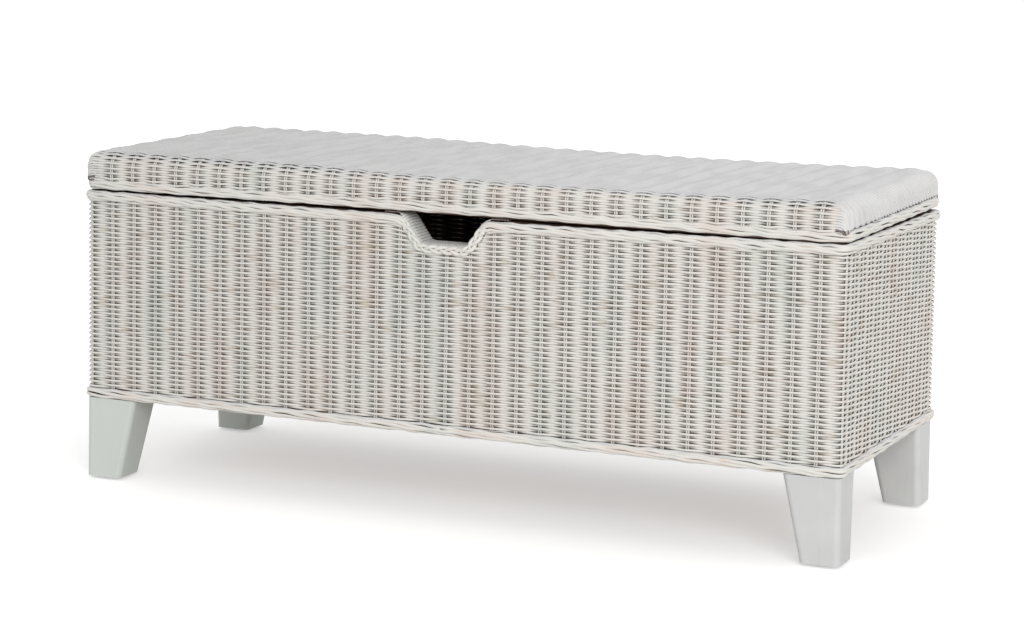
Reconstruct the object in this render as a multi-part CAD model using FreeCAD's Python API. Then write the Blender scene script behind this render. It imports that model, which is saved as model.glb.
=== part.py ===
import FreeCAD, Part
import math
import os

# A woven storage chest with a hinged seat lid.
# Millimetres, +Z up, +X to the right, the front faces -Y.
# The origin is under the middle of the whole chest, on the floor.

Vector = FreeCAD.Vector
X_AXIS = Vector(1, 0, 0)
Y_AXIS = Vector(0, 1, 0)
Z_AXIS = Vector(0, 0, 1)

# Driving sizes of the whole chest
body_width = 1100.0
body_depth = 420.0
body_height = 291.0
foot_height = 111.5
lid_gap = 3.5
lid_height = 53.0

# Running gaps and cutting allowances
running_gap = 0.3
pin_clearance = 0.05
hole_clearance = 0.1
cut_overrun = 5.0
touch_tolerance = 0.01

# Woven walls and their braided edges
weave_thickness = 8.0
wall_corner_radius = 12.0
braid_height = 15.0
braid_proud = 4.0
braid_chamfer = 4.5
braid_corner_radius = 16.0

# Upright stake pairs round the chest, and the shallow groove along each in front
stake_pair_count = 88
stake_shift = 4.0
stake_groove_width = 26.0
stake_groove_depth = 3.0

# Timber frame inside the weave
rail_depth = 26.0
top_rail_height = 30.0
bottom_rail_height = 26.0
floor_thickness = 9.0
batten_width = 40.0
batten_spacing = 370.0
post_corner_radius = 5.0

# Hand notch in the middle of the front rim
notch_top_width = 116.0
notch_bottom_width = 64.0
notch_depth = 38.0
notch_top_radius = 22.0
notch_bottom_radius = 10.0
notch_run_out = 32.0
notch_wrap_thickness = 2.5
notch_wrap_proud = 2.0
notch_wrap_overhang = 3.0

# Tapered feet with round glides
foot_top_width = 77.0
foot_top_depth = 63.0
foot_bottom_width = 53.0
foot_bottom_depth = 54.0
foot_inset = 1.5
foot_splay = 1.0
foot_edge_radius = 8.0
glide_radius = 11.5
glide_height = 4.0
foot_bolt_radius = 4.0
foot_bolt_depth = 40.0
foot_bolt_head_across = 13.0
foot_bolt_head_height = 5.5
foot_bolt_head_sides = 6

# Lid cover, frame and deck
lid_side_proud = 4.0
lid_corner_radius = 24.0
lid_edge_radius = 22.0
lid_rail_relief = 1.0
lid_sag = 4.5
lid_sag_middle = 150.0
lid_sag_length = 720.0
lid_sag_facets = 6
lid_deck_thickness = 9.0
lid_deck_drop = 6.0
lid_cross_rail_width = 40.0
lid_cross_rail_spacing = 340.0
bumper_size = 14.0
bumper_end_distance = 80.0

# Butt hinges at the back
hinge_spacing = 740.0
hinge_length = 70.0
hinge_leaf_width = 34.0
hinge_knuckle_radius = 3.25
hinge_pin_radius = 1.5
hinge_knuckle_count = 3

# Slotted lid stays, one at each end
lid_opening_degrees = 95.0
stay_floor_clearance = 19.0
stay_stud_height = 16.0
stay_arm_width = 16.0
stay_arm_thickness = 2.5
stay_stud_radius = 3.0
stay_stud_clearance = 0.08
stay_slot_clearance = 0.2
stay_head_radius = 6.5
stay_head_height = 2.0
stay_plate_length = 44.0
stay_plate_height = 24.0
stay_plate_thickness = 2.0

# Places that follow from the sizes above
hinge_overhang = hinge_knuckle_radius
body_middle_y = -hinge_overhang / 2
left = -body_width / 2
right = body_width / 2
front = body_middle_y - body_depth / 2
back = body_middle_y + body_depth / 2

foot_bottom = glide_height
body_bottom = foot_bottom + foot_height
rim_top = body_bottom + body_height
lid_bottom = rim_top + lid_gap
lid_top = lid_bottom + lid_height
floor_bottom = body_bottom + bottom_rail_height
floor_top = floor_bottom + floor_thickness

corner_line_radius = wall_corner_radius - weave_thickness / 2
straight_walls = 2 * (body_width + body_depth) - 8 * wall_corner_radius
stake_pitch = (straight_walls + 2 * math.pi * corner_line_radius) / stake_pair_count
frame_inset = weave_thickness + rail_depth
post_side = rail_depth
block_width = foot_inset + foot_top_width - frame_inset
block_depth = foot_inset + foot_top_depth - frame_inset
foot_bolt_inset_x = frame_inset + block_width / 2
foot_bolt_inset_y = frame_inset + block_depth / 2
notch_half_span = notch_top_width / 2 + notch_run_out

hinge_y = back + braid_proud
hinge_z = rim_top + lid_gap / 2
leaf_thickness = lid_gap / 2 - running_gap

lid_rail_height = lid_height - weave_thickness
lid_rail_depth = frame_inset + lid_side_proud - weave_thickness
lid_bevel = (lid_edge_radius - weave_thickness) * (2 - math.sqrt(2))
lid_deck_top = lid_bottom + lid_rail_height - lid_deck_drop
lid_deck_bottom = lid_deck_top - lid_deck_thickness

stay_lid_stud_z = lid_bottom + stay_stud_height
stay_body_stud_z = rim_top - stay_stud_height
stay_half_drop = stay_lid_stud_z - hinge_z
stay_slot_half_width = stay_stud_radius + stay_slot_clearance
stay_end_length = stay_slot_half_width + stay_arm_width / 2
stay_slot_near = 2 * stay_half_drop
stay_slot_far = stay_lid_stud_z - floor_top - stay_floor_clearance - stay_end_length
half_opening = math.radians(lid_opening_degrees) / 2
stay_reach = (stay_slot_far / 2 - stay_half_drop * math.cos(half_opening)) / math.sin(half_opening)
stay_y = hinge_y - stay_reach
rail_face = body_width / 2 - frame_inset
plate_face = rail_face - stay_plate_thickness
arm_outer_face = plate_face - running_gap
arm_inner_face = arm_outer_face - stay_arm_thickness
stud_end_face = arm_inner_face - running_gap

BODY_PLAN = (left, right, front, back)
SIDES = {"left": -1, "right": 1}
HINGE_MIDDLES = (-hinge_spacing / 2, hinge_spacing / 2)
CORNERS = {
    "front_left": (left, front, 1, 1),
    "front_right": (right, front, -1, 1),
    "back_left": (left, back, 1, -1),
    "back_right": (right, back, -1, -1),
}


# General shapes

def block(x0, x1, y0, y1, z0, z1):
    """A block between two corners, given in any order."""
    low = Vector(min(x0, x1), min(y0, y1), min(z0, z1))
    size = Vector(abs(x1 - x0), abs(y1 - y0), abs(z1 - z0))
    return Part.makeBox(size.x, size.y, size.z, low)


def grown(plan, amount):
    """A plan rectangle with every side moved outwards."""
    x0, x1, y0, y1 = plan
    return (x0 - amount, x1 + amount, y0 - amount, y1 + amount)


def is_upright(edge):
    """True for a straight edge along Z."""
    ends = [vertex.Point for vertex in edge.Vertexes]
    return len(ends) == 2 and ends[0].sub(ends[1]).cross(Z_AXIS).Length < touch_tolerance


def edges_at(shape, axis, place):
    """The edges that lie wholly in the plane axis = place."""
    found = []
    for edge in shape.Edges:
        offsets = [abs(point.dot(axis) - place) for point in edge.discretize(5)]
        if max(offsets) < touch_tolerance:
            found.append(edge)
    return found


def rounded_slab(plan, z0, z1, corner_radius):
    """A slab on a plan rectangle whose upright edges are rounded."""
    slab = block(*plan, z0, z1)
    return slab.makeFillet(corner_radius, [edge for edge in slab.Edges if is_upright(edge)])


def disc(centre, axis, radius, height):
    """A round disc or rod that starts at its centre point and runs along an axis."""
    return Part.makeCylinder(radius, height, centre, axis)


def offset_corners(points, distance):
    """Corners of an open line of points moved sideways, to the right of its direction."""
    normals = []
    for start, end in zip(points, points[1:]):
        along = end.sub(start).normalize()
        normals.append(Vector(along.z, 0, -along.x))
    moved = [points[0].add(normals[0] * distance)]
    for point, before, after in zip(points[1:-1], normals, normals[1:]):
        mitre = before.add(after) * (1 / (1 + before.dot(after)))
        moved.append(point.add(mitre * distance))
    moved.append(points[-1].add(normals[-1] * distance))
    return moved


def rounded_line(points, radii):
    """Edges through points, with a tangent arc of its own radius at each inner corner."""
    edges = []
    start = points[0]
    for corner, before, after, radius in zip(points[1:-1], points, points[2:], radii):
        if radius > 0:
            back_way = before.sub(corner).normalize()
            on_way = after.sub(corner).normalize()
            half_angle = back_way.getAngle(on_way) / 2
            reach = radius / math.tan(half_angle)
            middle_way = back_way.add(on_way).normalize()
            arc_start = corner.add(back_way * reach)
            arc_end = corner.add(on_way * reach)
            arc_middle = corner.add(middle_way * (radius / math.sin(half_angle) - radius))
            edges.append(Part.LineSegment(start, arc_start).toShape())
            edges.append(Part.Arc(arc_start, arc_middle, arc_end).toShape())
            start = arc_end
        else:
            edges.append(Part.LineSegment(start, corner).toShape())
            start = corner
    edges.append(Part.LineSegment(start, points[-1]).toShape())
    return edges


def prism(edges, y0, y1):
    """A solid from a closed outline in the XZ plane, carried from y0 to y1."""
    outline = Part.Face(Part.Wire(Part.__sortEdges__(edges)))
    outline.translate(Vector(0, y0, 0))
    return outline.extrude(Vector(0, y1 - y0, 0))


# The hand notch, one line that the braid, the wrap, the rail and the weave all follow

def notch_line(distance):
    """The rim line with the notch in it, moved down into the wall, as points and radii."""
    low = rim_top - notch_depth
    half_top = notch_top_width / 2
    half_bottom = notch_bottom_width / 2
    places = [
        (-notch_half_span, rim_top),
        (-half_top, rim_top),
        (-half_bottom, low),
        (half_bottom, low),
        (half_top, rim_top),
        (notch_half_span, rim_top),
    ]
    points = offset_corners([Vector(x, 0, z) for x, z in places], distance)
    outer = max(notch_top_radius - distance, 0)
    inner = notch_bottom_radius + distance
    return points, [outer, inner, inner, outer]


def notch_band(near, far, y0, y1):
    """The strip of wall between two distances from the notch line."""
    near_points, near_radii = notch_line(near)
    far_points, far_radii = notch_line(far)
    edges = rounded_line(near_points, near_radii) + rounded_line(far_points, far_radii)
    edges.append(Part.LineSegment(near_points[0], far_points[0]).toShape())
    edges.append(Part.LineSegment(near_points[-1], far_points[-1]).toShape())
    return prism(edges, y0, y1)


def notch_cutter(distance, y0, y1):
    """Everything above the notch line, up to past the rim."""
    points, radii = notch_line(distance)
    lift = Vector(0, 0, distance + cut_overrun)
    edges = rounded_line(points, radii)
    high_left = points[0].add(lift)
    high_right = points[-1].add(lift)
    edges.append(Part.LineSegment(points[0], high_left).toShape())
    edges.append(Part.LineSegment(high_left, high_right).toShape())
    edges.append(Part.LineSegment(high_right, points[-1]).toShape())
    return prism(edges, y0, y1)


# Woven walls

def wall_ring():
    """All four woven walls as one ring, between the two braids."""
    z0 = body_bottom + braid_height
    z1 = rim_top - braid_height
    outside = rounded_slab(BODY_PLAN, z0, z1, wall_corner_radius)
    inside_radius = wall_corner_radius - weave_thickness
    inside = rounded_slab(grown(BODY_PLAN, -weave_thickness), z0, z1, inside_radius)
    return outside.cut(inside)


def stake_grooves():
    """Cutters for the hollows that the weave leaves along the stake pairs in front."""
    half = stake_groove_width / 2
    reach = body_width / 2 - wall_corner_radius - half - abs(stake_shift)
    side_pairs = int(reach / stake_pitch)
    cutters = []
    for pair in range(-side_pairs, side_pairs + 1):
        x = stake_shift + pair * stake_pitch
        places = [
            (x - half, front),
            (x, front - cut_overrun),
            (x + half, front),
            (x, front + stake_groove_depth),
            (x - half, front),
        ]
        outline = Part.makePolygon([Vector(px, py, body_bottom) for px, py in places])
        cutters.append(Part.Face(outline).extrude(Z_AXIS * body_height))
    return Part.makeCompound(cutters)


def woven_walls():
    ring = wall_ring()
    z0 = body_bottom
    z1 = rim_top
    front_seam = front + wall_corner_radius
    back_seam = back - wall_corner_radius
    walls = {
        "front_weave": ring.common(block(left, right, front, front_seam, z0, z1)),
        "back_weave": ring.common(block(left, right, back_seam, back, z0, z1)),
        "left_weave": ring.common(block(left, 0, front_seam, back_seam, z0, z1)),
        "right_weave": ring.common(block(0, right, front_seam, back_seam, z0, z1)),
    }
    cutter = notch_cutter(braid_height, front - cut_overrun, front + frame_inset)
    walls["front_weave"] = walls["front_weave"].cut(stake_grooves()).cut(cutter)
    return walls


# Braided edges

def braid_ring(plan, inner_plan, z0, z1, corner_radius):
    """A braid round a rectangle: square inside, eased on its outer edges."""
    outside = rounded_slab(plan, z0, z1, corner_radius)
    rims = edges_at(outside, Z_AXIS, z0) + edges_at(outside, Z_AXIS, z1)
    outside = outside.makeChamfer(braid_chamfer, rims)
    inside = block(*inner_plan, z0 - cut_overrun, z1 + cut_overrun)
    return outside.cut(inside)


def rim_braid():
    """The braid round the rim, which dips round the hand notch."""
    top = rim_top - running_gap
    plan = grown(BODY_PLAN, braid_proud)
    inner_plan = grown(BODY_PLAN, -weave_thickness)
    ring = braid_ring(plan, inner_plan, rim_top - braid_height, top, braid_corner_radius)
    y0 = front - braid_proud
    y1 = front + weave_thickness
    gap = block(-notch_half_span, notch_half_span, y0 - cut_overrun, y1 + cut_overrun,
                rim_top - braid_height - cut_overrun, rim_top + cut_overrun)
    dip = notch_band(running_gap, braid_height, y0, y1)
    long_edges = []
    for edge in edges_at(dip, Y_AXIS, y0):
        middle = edge.CenterOfMass
        if abs(abs(middle.x) - notch_half_span) > touch_tolerance:
            long_edges.append(edge)
    dip = dip.makeChamfer(braid_chamfer, long_edges)
    return ring.cut(gap).fuse(dip).removeSplitter()


def bottom_braid():
    plan = grown(BODY_PLAN, braid_proud)
    inner_plan = grown(BODY_PLAN, -weave_thickness)
    return braid_ring(plan, inner_plan, body_bottom, body_bottom + braid_height,
                      braid_corner_radius)


# Timber frame of the body

def corner_posts():
    posts = {}
    for name, (x, y, to_x, to_y) in CORNERS.items():
        x0 = x + to_x * weave_thickness
        y0 = y + to_y * weave_thickness
        post = block(x0, x0 + to_x * post_side, y0, y0 + to_y * post_side,
                     body_bottom, rim_top)
        outer = [edge for edge in post.Edges if is_upright(edge)
                 and edge.CenterOfMass.distanceToPoint(Vector(x0, y0, edge.CenterOfMass.z))
                 < touch_tolerance]
        posts["corner_post_" + name] = post.makeFillet(post_corner_radius, outer)
    return posts


def side_rails(z0, z1, prefix):
    """The two end rails of a frame, which run between the corner posts."""
    y0 = front + frame_inset
    y1 = back - frame_inset
    rails = {}
    for side, edge_x, inwards in (("left", left, 1), ("right", right, -1)):
        x0 = edge_x + inwards * weave_thickness
        rails[prefix + side] = block(x0, x0 + inwards * rail_depth, y0, y1, z0, z1)
    return rails


def front_top_rail():
    """The front rail, which dips round the notch as one bent piece."""
    y0 = front + weave_thickness
    y1 = front + frame_inset
    low = rim_top - top_rail_height
    dip = notch_band(notch_wrap_thickness, top_rail_height, y0, y1)
    left_run = block(left + frame_inset, -notch_half_span, y0, y1, low, rim_top)
    right_run = block(notch_half_span, right - frame_inset, y0, y1, low, rim_top)
    return dip.fuse([left_run, right_run]).removeSplitter()


def notch_wrap():
    """Flat cane laid over the rail where hands reach through. It stands a little proud."""
    return notch_band(-notch_wrap_proud, notch_wrap_thickness, front + weave_thickness,
                      front + frame_inset + notch_wrap_overhang)


def long_rail(y_outer, inwards, z0, z1):
    x0 = left + frame_inset
    x1 = right - frame_inset
    return block(x0, x1, y_outer, y_outer + inwards * rail_depth, z0, z1)


def body_frame():
    low_top = body_bottom + bottom_rail_height
    high_low = rim_top - top_rail_height
    parts = corner_posts()
    parts.update(side_rails(high_low, rim_top, "top_rail_"))
    parts.update(side_rails(body_bottom, low_top, "bottom_rail_"))
    parts["top_rail_front"] = front_top_rail()
    parts["top_rail_back"] = long_rail(back - weave_thickness, -1, high_low, rim_top)
    parts["bottom_rail_front"] = long_rail(front + weave_thickness, 1, body_bottom, low_top)
    parts["bottom_rail_back"] = long_rail(back - weave_thickness, -1, body_bottom, low_top)
    parts["notch_wrap"] = notch_wrap()
    return parts


def floor_panel():
    """A plywood floor on the bottom rails, notched round the corner blocks."""
    plan = grown(BODY_PLAN, -weave_thickness - running_gap)
    panel = block(*plan, floor_bottom, floor_top)
    reach_x = frame_inset + block_width + running_gap
    reach_y = frame_inset + block_depth + running_gap
    for x, y, to_x, to_y in CORNERS.values():
        panel = panel.cut(block(x, x + to_x * reach_x, y, y + to_y * reach_y,
                                floor_bottom - cut_overrun, floor_top + cut_overrun))
    return panel


def floor_battens():
    """Cross battens under the floor."""
    y0 = front + frame_inset
    y1 = back - frame_inset
    battens = []
    for middle in (-batten_spacing / 2, batten_spacing / 2):
        battens.append(block(middle - batten_width / 2, middle + batten_width / 2, y0, y1,
                             body_bottom, floor_bottom))
    return Part.makeCompound(battens)


def corner_blocks():
    """Blocks in the corners of the bottom frame, which the foot bolts pass through."""
    blocks = []
    for x, y, to_x, to_y in CORNERS.values():
        x0 = x + to_x * frame_inset
        y0 = y + to_y * frame_inset
        solid = block(x0, x0 + to_x * block_width, y0, y0 + to_y * block_depth,
                      body_bottom, floor_top)
        blocks.append(solid.cut(foot_bolt_hole(x, y, to_x, to_y)))
    return Part.makeCompound(blocks)


# Feet, glides and their bolts

def sorted_plan(x0, x1, y0, y1):
    return (min(x0, x1), max(x0, x1), min(y0, y1), max(y0, y1))


def plan_corners(plan, z):
    """The corners of a plan rectangle at one height, going round it."""
    x0, x1, y0, y1 = plan
    return [Vector(x0, y0, z), Vector(x1, y0, z), Vector(x1, y1, z), Vector(x0, y1, z)]


def tapered_block(low_plan, high_plan, z0, z1):
    """A solid with flat faces between two plan rectangles at two heights."""
    low = plan_corners(low_plan, z0)
    high = plan_corners(high_plan, z1)
    rings = [low[::-1], high]
    for step in range(len(low)):
        other = (step + 1) % len(low)
        rings.append([low[step], low[other], high[other], high[step]])
    faces = [Part.Face(Part.makePolygon(ring + ring[:1])) for ring in rings]
    return Part.Solid(Part.Shell(faces))


def foot_bolt_place(x, y, to_x, to_y):
    return x + to_x * foot_bolt_inset_x, y + to_y * foot_bolt_inset_y


def foot_bolt_hole(x, y, to_x, to_y):
    bolt_x, bolt_y = foot_bolt_place(x, y, to_x, to_y)
    start = Vector(bolt_x, bolt_y, body_bottom - foot_bolt_depth)
    return disc(start, Z_AXIS, foot_bolt_radius + hole_clearance, floor_top - start.z)


def foot_plan(x, y, to_x, to_y, width, depth, splay):
    """The outline of a foot at one height, measured in from a corner of the walls."""
    outer_x = x + to_x * (foot_inset - splay)
    outer_y = y + to_y * foot_inset
    return sorted_plan(outer_x, outer_x + to_x * width, outer_y, outer_y + to_y * depth)


def foot_sole(*corner):
    return foot_plan(*corner, foot_bottom_width, foot_bottom_depth, foot_splay)


def foot(*corner):
    """A square foot that tapers on its two inner faces and leans out a little."""
    high_plan = foot_plan(*corner, foot_top_width, foot_top_depth, 0)
    solid = tapered_block(foot_sole(*corner), high_plan, foot_bottom, body_bottom)
    legs = [edge for edge in solid.Edges if edge.BoundBox.ZLength > foot_height / 2]
    solid = solid.makeFillet(foot_edge_radius, legs)
    return solid.cut(foot_bolt_hole(*corner))


def glide_place(corner):
    """The point on the floor under the middle of a foot."""
    x0, x1, y0, y1 = foot_sole(*corner)
    return Vector((x0 + x1) / 2, (y0 + y1) / 2, 0)


def foot_glides():
    glides = []
    for corner in CORNERS.values():
        glides.append(disc(glide_place(corner), Z_AXIS, glide_radius, glide_height))
    return Part.makeCompound(glides)


def foot_bolts():
    """Hexagon-head bolts, driven from inside the chest down into the feet."""
    bolts = []
    corner_distance = foot_bolt_head_across / math.sqrt(3)
    for corner in CORNERS.values():
        bolt_x, bolt_y = foot_bolt_place(*corner)
        low = Vector(bolt_x, bolt_y, body_bottom - foot_bolt_depth)
        seat = Vector(bolt_x, bolt_y, floor_top)
        points = []
        for step in range(foot_bolt_head_sides + 1):
            angle = 2 * math.pi * step / foot_bolt_head_sides
            points.append(seat.add(Vector(math.cos(angle), math.sin(angle), 0) * corner_distance))
        head = Part.Face(Part.makePolygon(points)).extrude(Z_AXIS * foot_bolt_head_height)
        bolts.append(disc(low, Z_AXIS, foot_bolt_radius, seat.z - low.z).fuse(head))
    return Part.makeCompound(bolts)


# Lid

def sag_cutter(top, depth):
    """The shallow hollow, from front to back, that use has pressed into the lid.

    Its floor is a chain of flats on the parabola top - depth * (1 - u * u), with u from
    -1 to 1 along the hollow."""
    x0 = lid_sag_middle - lid_sag_length / 2
    x1 = lid_sag_middle + lid_sag_length / 2
    y0 = front - lid_side_proud - cut_overrun
    y1 = back + lid_side_proud + cut_overrun
    places = [Vector(x1, 0, top + cut_overrun), Vector(x0, 0, top + cut_overrun)]
    for step in range(lid_sag_facets + 1):
        u = 2 * step / lid_sag_facets - 1
        x = lid_sag_middle + u * lid_sag_length / 2
        places.append(Vector(x, 0, top - depth * (1 - u * u)))
    places.append(places[0])
    return prism(Part.makePolygon(places).Edges, y0, y1)


def lid_weave():
    """The woven cover of the lid, a shell with rounded edges and a bevel inside, open below."""
    plan = grown(BODY_PLAN, lid_side_proud)
    z0 = lid_bottom + running_gap + braid_height
    outside = rounded_slab(plan, z0, lid_top, lid_corner_radius)
    outside = outside.makeFillet(lid_edge_radius, edges_at(outside, Z_AXIS, lid_top))
    z1 = lid_top - weave_thickness
    inside = rounded_slab(grown(plan, -weave_thickness), z0 - cut_overrun, z1,
                          lid_corner_radius - weave_thickness)
    inside = inside.makeChamfer(lid_bevel, edges_at(inside, Z_AXIS, z1))
    outside = outside.cut(sag_cutter(lid_top, lid_sag))
    return outside.cut(inside.cut(sag_cutter(z1, lid_sag)))


def lid_braid():
    plan = grown(BODY_PLAN, braid_proud)
    inner_plan = grown(BODY_PLAN, lid_side_proud - weave_thickness)
    z0 = lid_bottom + running_gap
    return braid_ring(plan, inner_plan, z0, z0 + braid_height, lid_corner_radius)


def lid_frame():
    """Four rails in a ring, with round corners and a bevel that fit the woven cover."""
    plan = grown(BODY_PLAN, lid_side_proud - weave_thickness)
    x0, x1, y0, y1 = plan
    z0 = lid_bottom
    z1 = lid_bottom + lid_rail_height
    corner = lid_corner_radius - weave_thickness + lid_rail_relief
    slab = rounded_slab(plan, z0, z1, corner)
    slab = slab.makeChamfer(lid_bevel + lid_rail_relief, edges_at(slab, Z_AXIS, z1))
    slab = slab.cut(sag_cutter(z1, lid_sag + lid_rail_relief))
    ring = slab.cut(block(*grown(plan, -lid_rail_depth), z0, z1))
    front_inner = y0 + lid_rail_depth
    back_inner = y1 - lid_rail_depth
    return {
        "lid_rail_front": ring.common(block(x0, x1, y0, front_inner, z0, z1)),
        "lid_rail_back": ring.common(block(x0, x1, back_inner, y1, z0, z1)),
        "lid_rail_left": ring.common(block(x0, 0, front_inner, back_inner, z0, z1)),
        "lid_rail_right": ring.common(block(0, x1, front_inner, back_inner, z0, z1)),
    }


def lid_deck():
    """The panel between the lid rails that carries the sitter."""
    plan = grown(BODY_PLAN, -frame_inset - running_gap)
    return block(*plan, lid_deck_bottom, lid_deck_top)


def lid_cross_rails():
    """Rails from front to back under the deck."""
    half = lid_cross_rail_width / 2
    rails = []
    for middle in (-lid_cross_rail_spacing / 2, lid_cross_rail_spacing / 2):
        rails.append(block(middle - half, middle + half, front + frame_inset,
                           back - frame_inset, lid_bottom, lid_deck_bottom))
    return Part.makeCompound(rails)


def lid_bumpers():
    """Soft square pads under the front of the lid that keep the gap to the rim."""
    half = bumper_size / 2
    z0 = lid_bottom - lid_gap + running_gap
    y = front + weave_thickness + rail_depth / 2
    return Part.makeCompound([
        block(x - half, x + half, y - half, y + half, z0, lid_bottom)
        for x in (left + bumper_end_distance, right - bumper_end_distance)])


# Hinges

def knuckle_spans():
    """Start and end, along X, of each knuckle of a hinge centred on zero."""
    length = (hinge_length - (hinge_knuckle_count - 1) * running_gap) / hinge_knuckle_count
    pitch = length + running_gap
    return [(-hinge_length / 2 + step * pitch, -hinge_length / 2 + step * pitch + length)
            for step in range(hinge_knuckle_count)]


def hinge_leaves(z0, z1, own_knuckles):
    """One leaf of each hinge: a flat plate and every other knuckle."""
    plate_start = hinge_y - hinge_leaf_width
    plate_end = hinge_y - hinge_knuckle_radius - running_gap
    leaves = []
    for middle in HINGE_MIDDLES:
        leaf = block(middle - hinge_length / 2, middle + hinge_length / 2,
                     plate_start, plate_end, z0, z1)
        for x0, x1 in own_knuckles:
            web = block(middle + x0, middle + x1, plate_end, hinge_y, z0, z1)
            barrel = disc(Vector(middle + x0, hinge_y, hinge_z), X_AXIS,
                          hinge_knuckle_radius, x1 - x0)
            leaf = leaf.fuse([web, barrel])
        bore_start = Vector(middle - hinge_length, hinge_y, hinge_z)
        bore = disc(bore_start, X_AXIS, hinge_pin_radius + pin_clearance, 2 * hinge_length)
        leaves.append(leaf.cut(bore).removeSplitter())
    return Part.makeCompound(leaves)


def hinge_pins():
    pins = []
    for middle in HINGE_MIDDLES:
        start = Vector(middle - hinge_length / 2, hinge_y, hinge_z)
        pins.append(disc(start, X_AXIS, hinge_pin_radius, hinge_length))
    return Part.makeCompound(pins)


# Lid stays

def stay_plate(side, z):
    """A small plate on a rail, with a shoulder stud whose head traps the arm."""
    outwards = X_AXIS * side
    half_length = stay_plate_length / 2
    half_height = stay_plate_height / 2
    plate = block(side * plate_face, side * rail_face, stay_y - half_length,
                  stay_y + half_length, z - half_height, z + half_height)
    head_start = Vector(side * (stud_end_face - stay_head_height), stay_y, z)
    stud_length = plate_face - stud_end_face + stay_head_height
    stud = disc(head_start, outwards, stay_stud_radius, stud_length)
    head = disc(head_start, outwards, stay_head_radius, stay_head_height)
    return plate.fuse([stud, head]).removeSplitter()


def round_ended_bar(side, top, bottom, half_width):
    """A flat bar along Z with half-round ends centred on two heights."""
    start_x = side * arm_inner_face
    outwards = X_AXIS * side
    bar = block(start_x, side * arm_outer_face, stay_y - half_width,
                stay_y + half_width, bottom, top)
    ends = [disc(Vector(start_x, stay_y, z), outwards, half_width, stay_arm_thickness)
            for z in (top, bottom)]
    return bar.fuse(ends).removeSplitter()


def stay_arm(side):
    """The slotted arm. It turns on the lid's stud and slides on the body's stud."""
    pivot_z = stay_lid_stud_z
    arm = round_ended_bar(side, pivot_z, pivot_z - stay_slot_far - stay_slot_half_width,
                          stay_arm_width / 2)
    slot = round_ended_bar(side, pivot_z - stay_slot_near, pivot_z - stay_slot_far,
                           stay_slot_half_width)
    hole = disc(Vector(side * arm_inner_face, stay_y, pivot_z), X_AXIS * side,
                stay_stud_radius + stay_stud_clearance, stay_arm_thickness)
    return arm.cut([slot, hole])


def build():
    spans = knuckle_spans()
    parts = {}
    parts.update(woven_walls())
    parts["rim_braid"] = rim_braid()
    parts["bottom_braid"] = bottom_braid()
    parts.update(body_frame())
    parts["floor_panel"] = floor_panel()
    parts["floor_battens"] = floor_battens()
    parts["corner_blocks"] = corner_blocks()
    for name, corner in CORNERS.items():
        parts["foot_" + name] = foot(*corner)
    parts["foot_glides"] = foot_glides()
    parts["foot_bolts"] = foot_bolts()
    parts["lid_weave"] = lid_weave()
    parts["lid_braid"] = lid_braid()
    parts.update(lid_frame())
    parts["lid_deck"] = lid_deck()
    parts["lid_cross_rails"] = lid_cross_rails()
    parts["lid_bumpers"] = lid_bumpers()
    parts["hinge_body_leaves"] = hinge_leaves(rim_top, rim_top + leaf_thickness, spans[0::2])
    parts["hinge_lid_leaves"] = hinge_leaves(lid_bottom - leaf_thickness, lid_bottom, spans[1::2])
    parts["hinge_pins"] = hinge_pins()
    for name, side in SIDES.items():
        parts["stay_arm_" + name] = stay_arm(side)
    parts["stay_lid_plates"] = Part.makeCompound(
        [stay_plate(side, stay_lid_stud_z) for side in SIDES.values()])
    parts["stay_body_plates"] = Part.makeCompound(
        [stay_plate(side, stay_body_stud_z) for side in SIDES.values()])
    return parts


os.makedirs("parts", exist_ok=True)
for name, shape in build().items():
    shape.exportStep("parts/" + name + ".step")
    print(name, len(shape.Solids), "solids", shape.isValid())
for name, corner in CORNERS.items():
    print("glide centre", name, glide_place(corner))
print("lid hinge axis at y", hinge_y, "z", hinge_z)
print("stay pivot at x", (arm_inner_face + arm_outer_face) / 2, "y", stay_y, "z", stay_lid_stud_z)
print("stay slot runs from", round(stay_slot_near, 2), "to", round(stay_slot_far, 2))
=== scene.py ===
# %% [markdown]
# # A whitewashed wicker chest, woven strand by strand
#
# The CAD model gives this chest its true sizes, with plain solids for the woven walls, the
# braids and the lid cover. This lesson puts real basketwork in their place: every weaver,
# stake and braid strand is a tube that follows a formula. The plan:
#
# 1. load the frame and set up the camera, the light and the floor
# 2. write small tools: node arithmetic for materials, and sweeps for tubes
# 3. weave the walls, twist the braids, cover the lid and wrap the hand notch
# 4. finish the feet, the timber and the metal fittings
#
# All lengths are in metres, +Z is up and the front faces -Y.

# %% Load the frame
import math

import bpy
import numpy as np
from mathutils import Matrix, Vector


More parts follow.
